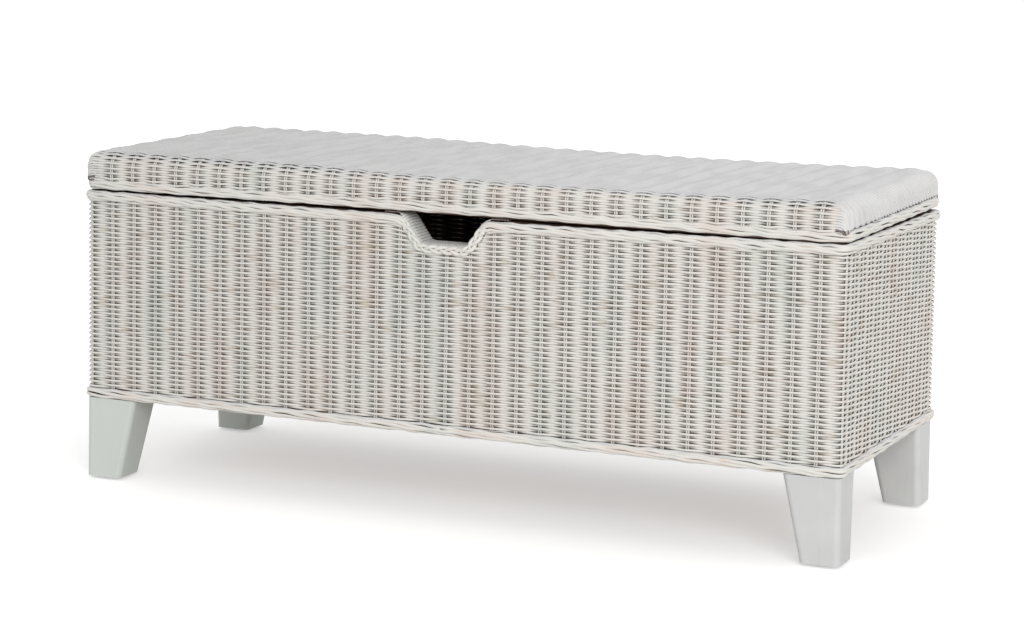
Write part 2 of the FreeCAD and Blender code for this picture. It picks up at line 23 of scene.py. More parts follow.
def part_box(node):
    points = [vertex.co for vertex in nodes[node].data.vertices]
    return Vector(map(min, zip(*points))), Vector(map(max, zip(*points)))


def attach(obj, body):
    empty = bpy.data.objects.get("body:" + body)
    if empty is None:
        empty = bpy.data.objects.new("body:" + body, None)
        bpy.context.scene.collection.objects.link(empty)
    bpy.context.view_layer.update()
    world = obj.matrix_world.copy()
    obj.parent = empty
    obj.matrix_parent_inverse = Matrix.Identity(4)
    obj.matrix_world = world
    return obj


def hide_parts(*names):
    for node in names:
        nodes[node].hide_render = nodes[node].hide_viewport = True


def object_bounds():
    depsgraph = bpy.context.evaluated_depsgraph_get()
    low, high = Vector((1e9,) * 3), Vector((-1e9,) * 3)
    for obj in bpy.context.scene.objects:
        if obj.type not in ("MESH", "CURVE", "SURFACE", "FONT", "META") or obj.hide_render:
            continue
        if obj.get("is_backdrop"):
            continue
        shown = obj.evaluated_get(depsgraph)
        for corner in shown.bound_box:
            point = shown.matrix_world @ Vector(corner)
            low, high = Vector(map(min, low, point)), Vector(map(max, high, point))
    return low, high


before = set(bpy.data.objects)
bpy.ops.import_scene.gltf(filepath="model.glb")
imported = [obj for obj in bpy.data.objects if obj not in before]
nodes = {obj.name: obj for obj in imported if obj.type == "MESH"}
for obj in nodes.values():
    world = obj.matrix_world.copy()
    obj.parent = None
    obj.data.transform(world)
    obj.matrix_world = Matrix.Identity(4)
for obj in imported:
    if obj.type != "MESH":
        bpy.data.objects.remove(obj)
cad_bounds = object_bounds()
print("CAD box", [[round(v, 4) for v in corner] for corner in cad_bounds])

# %% [markdown]
# ## Camera
#
# The photograph keeps the upright edges upright, so its camera was nearly level and the
# picture was shifted down. The lens here has the same shift: the principal point lies
# above the middle of the picture.

# %% Camera
PICTURE_WIDTH = 1024
SENSOR_WIDTH = 36.0
FOCAL_PIXELS = 2797.1
PRINCIPAL_POINT_RISE = 162.9
view_azimuth = 0.418
view_elevation = 0.11059
view_roll = 0.01517
view_distance = 3.83916
view_target = Vector((0.00341, -0.001625, 0.47572))


def view_axes(azimuth, elevation, roll):
    """Right, up and backward directions of a camera. The roll turns the first two about
    the line of sight, and without it the first one is level."""
    back = Vector((math.sin(azimuth) * math.cos(elevation),
                   -math.cos(azimuth) * math.cos(elevation), math.sin(elevation)))
    level = Vector((math.cos(azimuth), math.sin(azimuth), 0))
    upright = back.cross(level)
    right = level * math.cos(roll) + upright * math.sin(roll)
    return right, back.cross(right), back


right, up, back = view_axes(view_azimuth, view_elevation, view_roll)
camera_data = bpy.data.cameras.new("camera")
camera_data.sensor_width = SENSOR_WIDTH
camera_data.lens = FOCAL_PIXELS * SENSOR_WIDTH / PICTURE_WIDTH
camera_data.shift_y = -PRINCIPAL_POINT_RISE / PICTURE_WIDTH
camera = bpy.data.objects.new("camera", camera_data)
bpy.context.scene.collection.objects.link(camera)
place = view_target + back * view_distance
camera.matrix_world = Matrix.Translation(place) @ Matrix((right, up, back)).transposed().to_4x4()
bpy.context.scene.camera = camera
print("camera at", tuple(round(v, 3) for v in place), "lens", round(camera_data.lens, 2), "mm")

# %% [markdown]
# ## Node arithmetic
#
# A material is easiest to read when its maths looks like maths. `Value` wraps one output
# socket, and `+`, `-` and `*` add Math nodes behind the scenes, so that 1 - mask works too.

# %% Values that can be summed
class Value:
    """A node output that can be used in sums, also with plain numbers on either side."""

    def __init__(self, look, socket):
        self.look = look
        self.socket = socket

    def _math(self, operation, first, second):
        return self.look.add("ShaderNodeMath", 0, {"operation": operation},
                             {0: first, 1: second})

    def __add__(self, other):
        return self._math("ADD", self, other)

    def __mul__(self, other):
        return self._math("MULTIPLY", self, other)

    def __sub__(self, other):
        return self._math("SUBTRACT", self, other)

    def __rsub__(self, other):
        return self._math("SUBTRACT", other, self)

    __radd__, __rmul__ = __add__, __mul__

    def ramp(self, low, high):
        """0 at low, 1 at high, and a smooth step between them."""
        return self.look.add("ShaderNodeMapRange", 0, {"interpolation_type": "SMOOTHSTEP"},
                             Value=self, From_Min=low, From_Max=high)


print("a Value knows +, -, * and ramp")

# %% [markdown]
# ## Materials
#
# `Look` is one material round a Principled shader. Its `add` method makes any node, and
# the other methods are short names for the nodes that come up again and again. Colours are
# written as they look on a screen, from 0 to 255, and `rgb` turns them into linear light.

# %% Materials
class Look:
    """One procedural material with a Principled shader."""

    def __init__(self, name, roughness=0.5, specular=0.5, metallic=0.0):
        self.material = bpy.data.materials.new(name)
        self.material.use_nodes = True
        self.tree = self.material.node_tree
        self.shader = self.tree.nodes["Principled BSDF"]
        self.point = self.add("ShaderNodeTexCoord", "Object")
        for key, value in (("Roughness", roughness), ("Specular IOR Level", specular),
                           ("Metallic", metallic)):
            self.shader.inputs[key].default_value = value

    def feed(self, socket, term):
        """Links a Value to a socket, or sets the socket to a plain number or colour."""
        if isinstance(term, Value):
            self.tree.links.new(term.socket, socket)
        else:
            socket.default_value = term

    def add(self, kind, output=0, settings=None, slots=None, **inputs):
        """Makes a node. Inputs are named as on the node, with _ for a space, or stand in
        `slots` under their numbers where several have the same name."""
        node = self.tree.nodes.new(kind)
        for key, value in (settings or {}).items():
            setattr(node, key, value)
        for key, value in (slots or {}).items():
            self.feed(node.inputs[key], value)
        for key, value in inputs.items():
            self.feed(node.inputs[key.replace("_", " ")], value)
        return Value(self, node.outputs[output])

    def noise(self, scale, detail=2.0, stretch=None):
        """Smooth noise from 0 to 1, with about `scale` bumps in a metre. `stretch` holds a
        factor for the number of bumps along each axis."""
        point = self.point
        if stretch:
            point = self.add("ShaderNodeVectorMath", 0, {"operation": "MULTIPLY"},
                             {0: point, 1: stretch})
        return self.add("ShaderNodeTexNoise", Vector=point, Scale=scale, Detail=detail)

    def attribute(self, name):
        """A number stored on the mesh under a name."""
        return self.add("ShaderNodeAttribute", "Fac", {"attribute_name": name})

    def mix(self, share, low, high):
        """A colour: `low` where share is 0 and `high` where it is 1."""
        low, high = (c if isinstance(c, Value) else rgb(*c) for c in (low, high))
        return self.add("ShaderNodeMix", 2, {"data_type": "RGBA"}, {0: share, 6: low, 7: high})

    def bump(self, height, distance, strength):
        """Lets a height from 0 to 1 tilt the shading, as if it stood out by a distance."""
        node = self.add("ShaderNodeBump", Height=height, Distance=distance, Strength=strength)
        self.feed(self.shader.inputs["Normal"], node)

    def finish(self, colour, roughness=None):
        """Sends the varying inputs to the shader and gives the material back."""
        self.feed(self.shader.inputs["Base Color"], colour)
        if roughness is not None:
            self.feed(self.shader.inputs["Roughness"], roughness)
        return self.material


def rgb(*colour):
    """A display colour, each part from 0 to 255, as the linear light that nodes use:
    ((c + 0.055) / 1.055) to the power 2.4 for each part, and c / 12.92 near black."""
    parts = [part / 255 for part in colour]
    return (*(c / 12.92 if c <= 0.04045 else ((c + 0.055) / 1.055) ** 2.4 for c in parts), 1.0)


print("whitewash as linear light:", tuple(round(v, 3) for v in rgb(225, 222, 215)[:3]))

# %% [markdown]
# ## Light, floor and background
#
# A white studio: an even sky lights the chest from everywhere, and one large soft sun near
# the camera gives the strands their shape. Camera rays see a white background, and the
# floor keeps the shadow of the chest.

# %% Light and floor
SKY_LEVEL = 0.62
SUN_LEVEL = 1.25
SUN_SOFTNESS = 35
SUN_AZIMUTH = 36
SUN_ELEVATION = 22
FLOOR_GLOW = 0.42
world = bpy.data.worlds.new("studio")
world.use_nodes = True
bpy.context.scene.world = world
sky = world.node_tree
seen = sky.nodes.new("ShaderNodeLightPath")
is_seen = seen.outputs["Is Camera Ray"]
for kind in ("Is Glossy Ray", "Is Transmission Ray"):
    either = sky.nodes.new("ShaderNodeMath")
    either.operation = "MAXIMUM"
    sky.links.new(is_seen, either.inputs[0])
    sky.links.new(seen.outputs[kind], either.inputs[1])
    is_seen = either.outputs[0]
level = sky.nodes.new("ShaderNodeMapRange")
sky.links.new(is_seen, level.inputs["Value"])
level.inputs["To Min"].default_value = SKY_LEVEL
level.inputs["To Max"].default_value = 1.0
sky.nodes["Background"].inputs["Color"].default_value = (1, 1, 1, 1)
sky.links.new(level.outputs["Result"], sky.nodes["Background"].inputs["Strength"])

sun_data = bpy.data.lights.new("key", "SUN")
sun_data.energy = SUN_LEVEL
sun_data.angle = math.radians(SUN_SOFTNESS)
sun = bpy.data.objects.new("key", sun_data)
bpy.context.scene.collection.objects.link(sun)
sun_axes = view_axes(math.radians(SUN_AZIMUTH), math.radians(SUN_ELEVATION), 0)
sun.matrix_world = Matrix(sun_axes).transposed().to_4x4()
print("sun at", SUN_AZIMUTH, "degrees round and", SUN_ELEVATION, "degrees up")

floor_look = Look("studio_floor", roughness=0.9, specular=0.0)
floor_light = floor_look.add("ShaderNodeLightPath", "Is Camera Ray")
floor_grain = floor_look.noise(3.0)
floor_colour = floor_look.mix(floor_grain, (246, 246, 246), (250, 250, 250))
floor_look.shader.inputs["Emission Strength"].default_value = FLOOR_GLOW
floor_look.feed(floor_look.shader.inputs["Emission Color"],
                floor_look.mix(floor_light, (0, 0, 0), (255, 255, 255)))
floor_material = floor_look.finish(floor_colour)

# %% [markdown]
# ## From arrays to meshes
#
# Blender takes whole numpy arrays at once. `new_mesh` stores points and faces, and any
# number that each point carries, such as how deep it lies in the weave. Tubes, screws and
# the floor are all rings of points, and `ring_quads` joins each ring to the next.

# %% Mesh tools
def columns(*parts):
    """Numbers side by side as the columns of one array. A plain number is repeated."""
    return np.stack(np.broadcast_arrays(*parts), axis=-1)


def new_mesh(name, points, faces, numbers=None):
    """An object from an (n, 3) array of points and a list of (m, k) arrays of corners."""
    mesh = bpy.data.meshes.new(name)
    mesh.vertices.add(len(points))
    mesh.vertices.foreach_set("co", points.astype(np.float32).ravel())
    corners = np.concatenate([group.ravel() for group in faces])
    counts = np.concatenate([np.full(len(group), group.shape[1]) for group in faces])
    starts = np.concatenate([[0], np.cumsum(counts)[:-1]])
    mesh.loops.add(len(corners))
    mesh.loops.foreach_set("vertex_index", corners.astype(np.int32))
    mesh.polygons.add(len(counts))
    mesh.polygons.foreach_set("loop_start", starts.astype(np.int32))
    mesh.polygons.foreach_set("use_smooth", np.full(len(counts), True))
    for key, values in (numbers or {}).items():
        layer = mesh.attributes.new(key, "FLOAT", "POINT")
        layer.data.foreach_set("value", values.astype(np.float32))
    mesh.update(calc_edges=True)
    mesh.validate()
    thing = bpy.data.objects.new(name, mesh)
    bpy.context.scene.collection.objects.link(thing)
    return thing


def ring_quads(rings, sides, closed=False):
    """The quads between neighbouring rings, when point k of ring r has number
    r * sides + k. In a closed tube the last ring is joined to the first."""
    ring, side = np.indices((rings if closed else rings - 1, sides))
    here, after, beside = ring * sides, (ring + 1) % rings * sides, (side + 1) % sides
    return columns(here + side, after + side, after + beside, here + beside).reshape(-1, 4)


def floor_disc(radius, rings, spokes):
    """A flat round floor: ring k lies at radius * (k / rings) squared."""
    angle = np.linspace(0, 2 * np.pi, spokes, endpoint=False)
    reach = radius * (np.arange(1, rings + 1) / rings) ** 2
    points = columns(reach[:, None] * np.cos(angle), reach[:, None] * np.sin(angle), 0)
    return points.reshape(-1, 3), [ring_quads(rings, spokes), np.arange(spokes)[None, :]]


floor = new_mesh("studio_floor", *floor_disc(radius=30.0, rings=12, spokes=48))
floor.data.materials.append(floor_material)
floor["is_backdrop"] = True
print("floor with", len(floor.data.polygons), "faces")

# %% [markdown]
# ## Tubes along lines
#
# Cane is round or oval, so nearly everything here is a tube. `sweep` carries an oval ring
# along each line and makes hundreds of strands as one object. Each point remembers the
# `tint` of its strand, how far out of the weave it lies (`depth`, more on the outer side of
# a strand than on the inner one) and how much it faces up (`level`).

# %% Tubes
# SIDE_DEPTH lowers `depth` on the inner side of each strand, where cane_look shows bare cane and
# painted shade; this keeps the inside of the chest dark
SIDE_DEPTH = 0.6
rng = np.random.default_rng(11)


def unit(vectors):
    """Each vector divided by its own length."""
    return vectors / np.linalg.norm(vectors, axis=-1, keepdims=True)


def make_strand(line, out, thick, wide, depth, level=None, closed=False):
    """What `sweep` needs of a strand: (m, 3) points, (m, 3) directions that point out of
    the weave, and the half sizes of the oval section along `out` and across it. Its tint is
    drawn at random."""
    if level is None:
        level = np.clip(out[:, 2], 0, 1)
    return line, out, (thick, wide, depth), level, closed, rng.uniform()


def round_steps(points):
    """Along a closed line: the step from the point before to the point after."""
    return np.roll(points, -1, axis=0) - np.roll(points, 1, axis=0)


def sweep(strands, sides):
    """Tubes along lines. A ring point at angle a is
    line + thick * cos(a) * out + wide * sin(a) * across, with across = tangent x out."""
    points, quads, caps, tints, depths, levels = [], [], [], [], [], []
    count = 0
    angle = 2 * np.pi * np.arange(sides) / sides
    for line, out, per_ring, level, closed, tint in strands:
        rings = len(line)
        tangent = round_steps(line) if closed else np.gradient(line, axis=0)
        across = unit(np.cross(tangent, out))
        out = unit(np.cross(across, tangent))
        thick, wide, depth = (np.broadcast_to(v, rings)[:, None, None] for v in per_ring)
        ring = (line[:, None] + thick * np.cos(angle)[None, :, None] * out[:, None]
                + wide * np.sin(angle)[None, :, None] * across[:, None])
        points.append(ring.reshape(-1, 3))
        quads.append(ring_quads(rings, sides, closed) + count)
        if not closed:
            first = np.arange(sides)[None, :]
            last = first[:, ::-1] + (rings - 1) * sides
            caps.append(np.concatenate([first, last]) + count)
        tints.append(np.full(rings * sides, tint))
        depths.append((depth + SIDE_DEPTH * np.cos(angle)).ravel())
        levels.append(np.repeat(level, sides))
        count += rings * sides
    numbers = {"tint": np.concatenate(tints), "depth": np.concatenate(depths),
               "level": np.concatenate(levels)}
    faces = [np.concatenate(quads)] + ([np.concatenate(caps)] if caps else [])
    return np.concatenate(points), faces, numbers


print("a tube with 6 sides and 10 rings has", 6 * 9 * 2 + 2 * 4, "triangles")

# %% [markdown]
# ## Whitewash on cane
#
# Thin white paint over cane. It is thick on the outside of each strand and thin where
# strands cross, so brown shows in the holes: with `depth` one rule darkens them all, and
# the same rule also paints in the shade that falls in holes, crevices and the inside of the chest.
# Strands differ a little: some patches are warm, some green-grey.

# %% Cane finishes
def cane_look(name, light, warm, cool, painted_shade, bare, faded=None, patches=(26, 26, 7)):
    """Painted cane. Deep parts show the fourth colour, a painted shade for holes, crevices and the
    inside, and `bare` where the paint is thinnest.
    `patches` is the number of tinted patches in a metre on each axis, and `faded` is the
    colour of a level sheet that has lost its tints; its faint streaks are painted shade."""
    look = Look(name, roughness=0.55, specular=0.35)
    tint = look.attribute("tint")
    depth = look.attribute("depth")
    patch = look.noise(1.0, 2.0, patches)
    cloud = look.noise(5.0)
    speckle = look.noise(420.0)
    fibre = look.noise(90.0, 4.0, (1, 1, 9))
    # warm patches, cool patches and flecks in the paint
    colour = look.mix((patch + 0.25 * cloud + 0.2 * tint - 0.22).ramp(0.46, 0.80), light, warm)
    colour = look.mix((0.9 - patch + 0.2 * cloud).ramp(0.52, 0.80) * 0.8, colour, cool)
    colour = look.mix((fibre * 0.5 + speckle * 0.5).ramp(0.60, 0.80) * 0.25, colour, warm)
    if faded:
        # painted shade: faint streaks stand in for the shading of the low ridges of the level
        # sheet
        painted_ridge_shade = look.noise(1.0, 2.0, (52, 13, 7)).ramp(0.40, 0.64)
        colour = look.mix(look.attribute("level").ramp(0.55, 0.97), colour,
                          look.mix(painted_ridge_shade * 0.08, faded, painted_shade))
    # painted shade: the left half, away from the lamp side, is darkened a little
    painted_falloff = 1.0 - look.add("ShaderNodeSeparateXYZ", "X", Vector=look.point).ramp(-0.60, 0.45)
    colour = look.mix(painted_falloff * 0.12, colour, painted_shade)
    # old stains lie in the holes of the upright sides
    stain = look.noise(1.0, 1.0, (30, 30, 70)).ramp(0.60, 0.70)
    stain = stain * (1.0 - depth.ramp(0.5, 1.25)) * (1.0 - look.attribute("level").ramp(0.1, 0.4))
    colour = look.mix(stain * 0.42, colour, (186, 168, 140))
    # the paint wears thin with depth, and deep parts also get painted shade where shade falls
    shade = look.mix((0.7 * patch + 0.5 * cloud - 0.1).ramp(0.40, 0.62), painted_shade, bare)
    wear_and_shade = 1.0 - (depth + 0.35 * speckle - 0.12).ramp(0.0, 0.82)
    colour = look.mix(wear_and_shade, colour, shade)
    look.bump(fibre * 0.7 + speckle * 0.3, 0.0004, 0.6)
    return look.finish(colour, 0.48 + 0.2 * fibre)


whitewash = cane_look("whitewashed_cane", (237, 234, 228), (232, 223, 215), (221, 224, 217),
                      (66, 61, 54), (92, 68, 50), (228, 228, 228))


def piece(name, body, strands, sides, *stands_for, slot="whitewashed_cane", material=whitewash):
    """Sweeps strands into one object that rides on a body and stands for CAD nodes."""
    thing = new_mesh(name, *sweep(strands, sides))
    thing.data.materials.append(material)
    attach(thing, body)
    if stands_for:
        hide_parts(*stands_for)
    triangles = len(thing.data.loops) - 2 * len(thing.data.polygons)
    print(name, len(strands), "strands,", triangles, "triangles")


print("materials so far:", [m.name for m in bpy.data.materials])

# %% [markdown]
# ## The path round the walls
#
# A weaver goes round the chest on a rounded rectangle. `loop_path` tabulates it once, with
# its outward directions, and any point on it is then read by its distance `s` along the
# path. s = 0 is the middle of the front, and s grows towards +X.

# %% Paths
BACK_CORNER_SHARE = 0.25
CORNER_STEPS = 9


def rounded_corner(before, corner, after, radius):
    """Points on the arc that rounds one corner of a line.

    Half the angle at the corner is h. The centre lies radius / sin(h) from the corner, on
    the line that halves the angle, and the arc starts and ends radius / tan(h) from it."""
    way_in, way_out = unit(before - corner), unit(after - corner)
    half = 0.5 * np.arccos(np.clip(way_in @ way_out, -1, 1))
    centre = corner + unit(way_in + way_out) * radius / np.sin(half)
    start = corner + way_in * radius / np.tan(half) - centre
    end = corner + way_out * radius / np.tan(half) - centre
    turn = np.pi - 2 * half
    t = np.linspace(0, 1, CORNER_STEPS)[:, None]
    return centre + (np.sin((1 - t) * turn) * start + np.sin(t * turn) * end) / np.sin(turn)


class Path:
    """A line that is read by distance along it, in metres."""

    def __init__(self, points, outs, closed):
        if closed:
            points, outs = (np.concatenate([table, table[:1]]) for table in (points, outs))
        steps = np.linalg.norm(np.diff(points, axis=0), axis=1)
        self.s = np.concatenate([[0], np.cumsum(steps)])
        self.points, self.outs, self.closed = points, outs, closed
        self.length = self.s[-1]

    def at(self, s):
        """Points and outward directions at distances s."""
        s = np.mod(s, self.length) if self.closed else np.clip(s, 0, self.length)
        point, out = (columns(*(np.interp(s, self.s, table[:, k]) for k in range(3)))
                      for table in (self.points, self.outs))
        return point, unit(out)


def loop_path(low, high, inset, radius, dip=None, back_share=BACK_CORNER_SHARE):
    """A rounded rectangle at height 0 that starts at the middle of the front.

    The two back corners are squarer than the front ones. `dip` is an optional line of
    (x, z) points for the middle of the front side. The outward direction is the level
    tangent turned by a quarter: (tx, ty) becomes (ty, -tx)."""
    (x0, y0), (x1, y1) = np.array(low)[:2] + inset, np.array(high)[:2] - inset
    corners = np.array([[x0, y0], [x1, y0], [x1, y1], [x0, y1]])
    middle = 0.5 * (corners[0] + corners[1])
    shares = (1, 1, back_share, back_share)
    arcs = [rounded_corner(corners[k - 1], corners[k], corners[(k + 1) % 4], radius * shares[k])
            for k in (1, 2, 3, 0)]
    points = columns(*np.concatenate([middle[None, :], *arcs]).T, 0)
    if dip is not None:
        dip = columns(dip[:, 0], middle[1], dip[:, 1])
        points = np.concatenate([dip[dip[:, 0] >= 0], points[1:], dip[dip[:, 0] < 0]])
    tangent = round_steps(points)
    return Path(points, unit(columns(tangent[:, 1], -tangent[:, 0], 0)), True)


print("a rounded 1 m square is", round(loop_path((0, 0), (1, 1), 0, 0.1).length, 3), "m round")

# %% [markdown]
# ## Woven walls
#
# Plain weave: each weaver passes in front of one pair of stakes and behind the next, and
# the row above does the opposite. After a distance s the weaver lies
#
#     offset = swing * sign(c) * |c| to the power 1.5,   c = cos(pi * (s / pitch + row))
#
# out of the middle of the wall. The power makes it lie flat between stakes and bend
# quickly round them, which leaves the dark lens-shaped holes beside each pair. `stations`
# puts more points of a weaver near the stake pairs.

# %% Walls: sizes
wall_low = np.array(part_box("front_weave")[0])
wall_high = np.array(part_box("back_weave")[1])
left_low, left_high = np.array(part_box("left_weave"))
WALL_THICKNESS = left_high[0] - left_low[0]
CORNER_RADIUS = 0.012
STAKE_PAIRS = 88
ROW_COUNT = 78
WEAVE_SWING = 0.0023
WEAVER_THICK = 0.00125
WEAVE_OUT = 0.0004
STAKE_RADIUS = 0.0013
STAKE_SPACING = 0.0029
STAKE_SHIFT = 0.004
STAKE_DEPTH = 0.35
BACK_SNUG = 0.07
STATION_SHARES = np.array([-0.38, -0.22, -0.08, 0.08, 0.22, 0.38])
half_wall = WALL_THICKNESS / 2
wall_path = loop_path(wall_low, wall_high, half_wall, CORNER_RADIUS - half_wall)
stake_pitch = wall_path.length / STAKE_PAIRS
row_pitch = (wall_high[2] - wall_low[2]) / ROW_COUNT
print("wall loop", round(wall_path.length, 3), "m, stake pitch", round(stake_pitch * 1000, 2),
      "mm, row pitch", round(row_pitch * 1000, 2), "mm")


def weave_wave(s, row):
    """From -1, behind a stake pair, to 1, in front of it."""
    c = np.cos(np.pi * ((s - STAKE_SHIFT) / stake_pitch + row))
    return np.sign(c) * np.abs(c) ** 1.5


def weaver_share(wave):
    """Half width of a weaver as a share of the row pitch: 0.45 in front of a stake pair,
    0.60 between pairs and 0.91 behind one, where the rows beside it leave room."""
    return 0.60 - 0.23 * wave + 0.08 * wave ** 2 + 0.012 * rng.uniform(-1, 1)


def stations(start, end):
    """Distances along a weaver, closer together near each stake pair, and both ends."""
    pairs = np.arange(math.floor(start / stake_pitch) - 1, math.ceil(end / stake_pitch) + 2)
    inner = ((pairs[:, None] + STATION_SHARES) * stake_pitch + STAKE_SHIFT).ravel()
    margin = 0.02 * stake_pitch
    inner = inner[(inner > start + margin) & (inner < end - margin)]
    return np.concatenate([[start], inner, [end]])


def wander(s, size, seed, wavelength=0.11):
    """A slow drift along a strand: three sines with random phases, the same for a seed."""
    phases = np.random.default_rng(seed).uniform(0, 2 * np.pi, 3)
    lengths = wavelength * np.array([1.0, 0.61, 0.37])
    return size * sum(np.sin(2 * np.pi * s / lengths[k] + phases[k]) for k in range(3)) / 2


# %% [markdown]
# ## The notch line
#
# The rim dips in the middle of the front so that a hand can reach the lid. Its line is
# kept by the braid, by the ends of the weavers and by the cane wrap. Moving it sideways by
# a distance moves each straight part along its normal.

# %% Notch line
rim_low, rim_high = np.array(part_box("rim_braid"))
wrap_low, wrap_high = np.array(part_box("notch_wrap"))
RIM_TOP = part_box("corner_post_front_left")[1][2]
NOTCH_TOP = 0.116
NOTCH_BOTTOM = 0.064
NOTCH_DEPTH = 0.038
NOTCH_TOP_RADIUS = 0.022
NOTCH_BOTTOM_RADIUS = 0.010
NOTCH_SPAN = wrap_high[0]


def notch_line(distance):
    """(x, z) points of the rim line, moved down into the wall by a distance."""
    xs = np.array([-NOTCH_SPAN, -NOTCH_TOP / 2, -NOTCH_BOTTOM / 2,
                   NOTCH_BOTTOM / 2, NOTCH_TOP / 2, NOTCH_SPAN])
    zs = RIM_TOP - NOTCH_DEPTH * np.array([0, 0, 1, 1, 0, 0])
    corners = columns(xs, zs)
    along = unit(np.diff(corners, axis=0))
    normal = columns(along[:, 1], -along[:, 0])
    share = 1 + np.sum(normal[:-1] * normal[1:], axis=1, keepdims=True)
    mitre = (normal[:-1] + normal[1:]) / share
    moved = corners + distance * np.concatenate([normal[:1], mitre, normal[-1:]])
    top_radius = max(NOTCH_TOP_RADIUS - distance, 0.001)
    low_radius = NOTCH_BOTTOM_RADIUS + distance
    radii = (top_radius, low_radius, low_radius, top_radius)
    arcs = [rounded_corner(*moved[k:k + 3], radius) for k, radius in enumerate(radii)]
    return np.concatenate([moved[:1], *arcs, moved[-1:]])


STAKE_TOP_DISTANCE = 0.0125
WEAVER_END_DISTANCE = 0.0098
weaver_ends = notch_line(WEAVER_END_DISTANCE)
right_edge = weaver_ends[weaver_ends[:, 0] > 0]
right_edge = right_edge[np.argsort(right_edge[:, 1])]


def notch_half_width(z):
    """How far the notch keeps weavers from the middle at a height; 0 below the notch."""
    reach, heights = right_edge.T
    return 0.0 if z < heights[0] else float(np.interp(z, heights, reach))


print("notch half width at the rim", round(notch_half_width(RIM_TOP - 0.016) * 1000, 1), "mm")

# %% [markdown]
# ## Rows and stakes
#
# Each wall is a stack of rows, and each row is one weaver, or two where the notch parts it.
# Beside the notch the rows bend down, because the braid pulls them along its slope. The
# rim was fixed by hand and stands a little high at the right, so one more row fits there.

# %% Walls: weavers and stakes
NOTCH_DROOP = 0.0042
DROOP_REACH = 0.013
DROOP_FOOT = 0.012
DROOP_HEIGHT = 0.036
LAST_ROW_DIP = 0.0022
ROW_WANDER = 0.00022
STAKE_WANDER = 0.0002
STAKE_POINTS = 12
STAKE_TUCK = 0.004


def notch_droop(s, z):
    """How far a weaver bends down where it meets the side of the notch: most near the rim,
    and nothing at the foot of the notch. It fades along the wall with exp(-distance)."""
    edge = notch_half_width(z)
    if edge == 0:
        return 0.0
    away = np.maximum(np.abs(s) - edge, 0)
    rise = np.clip((z - (RIM_TOP - NOTCH_DEPTH - DROOP_FOOT)) / DROOP_HEIGHT, 0, 1)
    return NOTCH_DROOP * rise * np.exp(-away / DROOP_REACH)


def wall_weaver(row, start, end, snug=0.0, is_last=False):
    """One weaver between two distances along the wall. `snug` widens it as a share of the
    row pitch. The last row of an end wall dips just past each stake pair, by a bell curve,
    and leaves the row of holes under the rim."""
    s = stations(start, end)
    line, out = wall_path.at(s)
    wave = weave_wave(s, row)
    line = line + out * (WEAVE_OUT + WEAVE_SWING * wave)[:, None]
    z = wall_low[2] + (row + 0.5) * row_pitch
    on_front = out[:, 1] < -0.9
    line[:, 2] = z + wander(s, ROW_WANDER, 1000 + row) - on_front * notch_droop(s, z)
    if is_last:
        beside = np.mod((s - STAKE_SHIFT) / stake_pitch, 1)
        line[:, 2] -= LAST_ROW_DIP * np.exp(-((beside - 0.22) / 0.12) ** 2) * np.abs(out[:, 0])
    wide = row_pitch * (weaver_share(wave) + snug)
    # `depth` is low behind a stake pair, so the holes there get bare cane and painted shade
    return make_strand(line, out, WEAVER_THICK, wide, 0.26 + 0.50 * wave)


arc_length = (CORNER_RADIUS - half_wall) * np.pi / 2
front_end = (wall_high[0] - half_wall) - (CORNER_RADIUS - half_wall) + arc_length
side_end = wall_path.length / 2 - front_end
round_trip = wall_path.length
ends = (-front_end, front_end, side_end, round_trip - side_end, round_trip - front_end)
for side, start, end in zip(("front", "right", "back", "left"), ends, ends[1:]):
    strands = []
    rows = ROW_COUNT + (side in ("front", "right"))
    snug = BACK_SNUG if side == "back" else 0.0
    for row in range(rows):
        gap = notch_half_width(wall_low[2] + (row + 0.5) * row_pitch) if side == "front" else 0.0
        if gap > 0:
            strands += [wall_weaver(row, start, -gap), wall_weaver(row, gap, end)]
        else:
            strands.append(wall_weaver(row, start, end, snug, row == rows - 1))
    piece(side + "_weavers", "chest", strands, 6, side + "_weave")

stakes = []
for pair in range(STAKE_PAIRS):
    centre, out = wall_path.at(np.array([pair * stake_pitch + STAKE_SHIFT]))
    top = wall_high[2] + STAKE_TUCK
    if centre[0, 1] < 0 and abs(centre[0, 0]) < NOTCH_SPAN:
        top = float(np.interp(centre[0, 0], *notch_line(STAKE_TOP_DISTANCE).T))
    along = np.cross([0, 0, 1], out[0])
    for shift in (-0.5, 0.5):
        z = np.linspace(wall_low[2] - STAKE_TUCK, top, STAKE_POINTS)
        line = np.repeat(centre, STAKE_POINTS, axis=0) + along * STAKE_SPACING * shift
        line[:, 2] = z
        line += along * wander(z, STAKE_WANDER, 5000 + pair)[:, None]
        stakes.append(make_strand(line, np.repeat(out, STAKE_POINTS, axis=0),
                                  STAKE_RADIUS, STAKE_RADIUS, STAKE_DEPTH))
piece("wall_stakes", "chest", stakes, 6)

# %% [markdown]
# ## Braided edges
#
# Seven strands twist round an oval core. A strand at a distance s along the edge sits at
# the angle `theta = 2 pi (turns * s / length + j / 7)` of the core, so on the outside it
# crosses the braid at a flat slant. Small waves, some with the stake pitch and some slow
# and random, make the strands bulge and stray.
#
# In the hand notch the same strands form a plait. With the phase u = 2 pi (s / lay + j / 3)
# a strand lies at a sin(u) across the edge and at b sin(2 u) outwards. That figure of eight
# takes each strand over one neighbour and under the other. The plait is narrower than the
# twisted braid and keeps to its upper edge.

